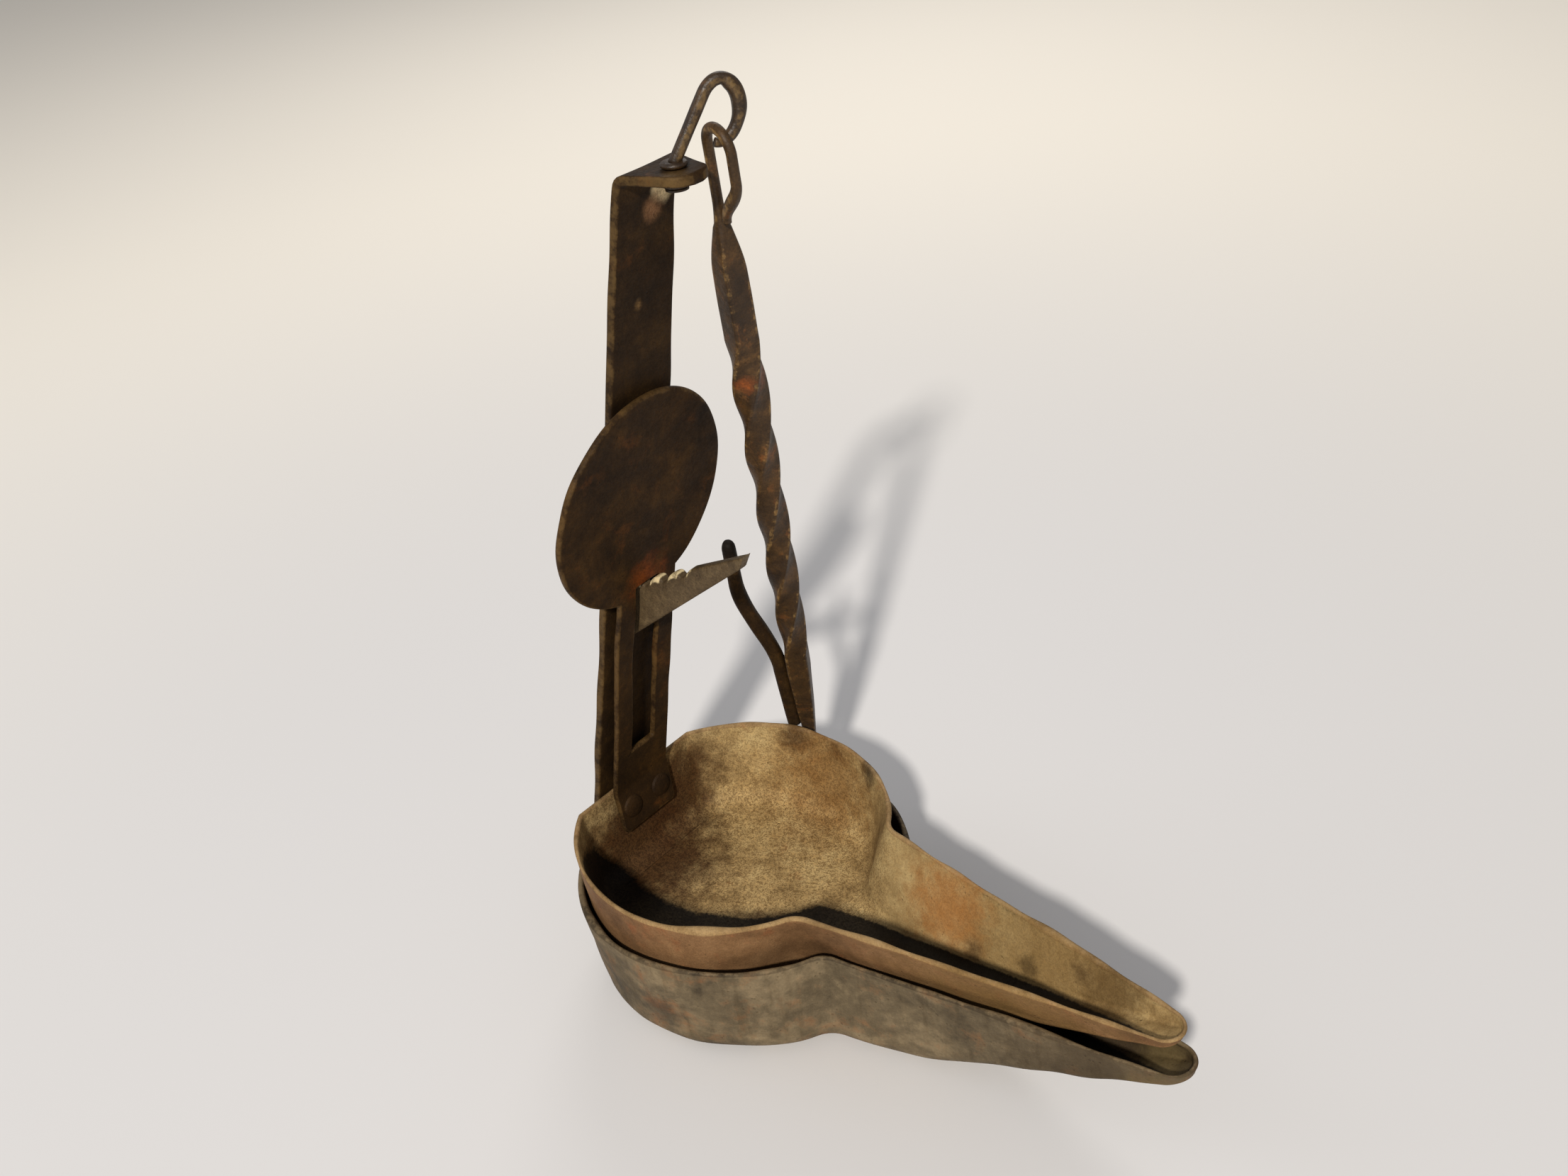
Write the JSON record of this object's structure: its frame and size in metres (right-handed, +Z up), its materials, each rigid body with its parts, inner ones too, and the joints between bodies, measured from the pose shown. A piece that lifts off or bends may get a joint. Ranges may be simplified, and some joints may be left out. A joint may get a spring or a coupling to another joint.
{
  "type": "double pan oil lamp",
  "caption": "Double iron oil lamp: nested spouted pans on an upright bar, a notched arm that carries the upper pan, and a twisted swivelling hanger with spike and hook.",
  "frame": {"origin": "centre of the lower bowl's flat underside", "axes": "+X along the spouts, +Z up, +Y to the left of the spouts"},
  "size_m": [0.1749, 0.0958, 0.2353],
  "materials": {
    "bar_iron": "dark brown patina, worn edges",
    "pan_iron": "sandy tan rust patina, pitted",
    "arm_iron": "grey tan patina, worn teeth",
    "hanger_iron": "dark brown patina with orange rust"
  },
  "bodies": {
    "frame": {"lower_pan": "pan_iron", "back_bar": "bar_iron", "bar_rivets": "bar_iron", "ratchet_arm": "arm_iron"},
    "oil_pan": {"upper_pan": "pan_iron", "pan_handle": "bar_iron", "handle_rivets": "bar_iron"},
    "swivel": {"swivel_eye": "hanger_iron", "swivel_burr": "hanger_iron"},
    "hanger": {"hanger_rod": "hanger_iron", "hanger_hook": "hanger_iron"}
  },
  "joints": [
    {"name": "pan_lift", "type": "slide", "parent": "frame", "child": "oil_pan", "axis": [0.5736, 0, 0.8192], "range_m": [0, 0.013]},
    {"name": "swivel_turn", "type": "hinge", "parent": "frame", "child": "swivel", "pos_m": [0.01047, 0, 0.218], "axis": [0, 0, 1], "range_deg": [-80, 2]},
    {"name": "hanger_swing", "type": "hinge", "parent": "swivel", "child": "hanger", "pos_m": [0.01566, 0.0083, 0.22134], "axis": [0.5299, 0.848, 0], "range_deg": [0, 125]}
  ]
}
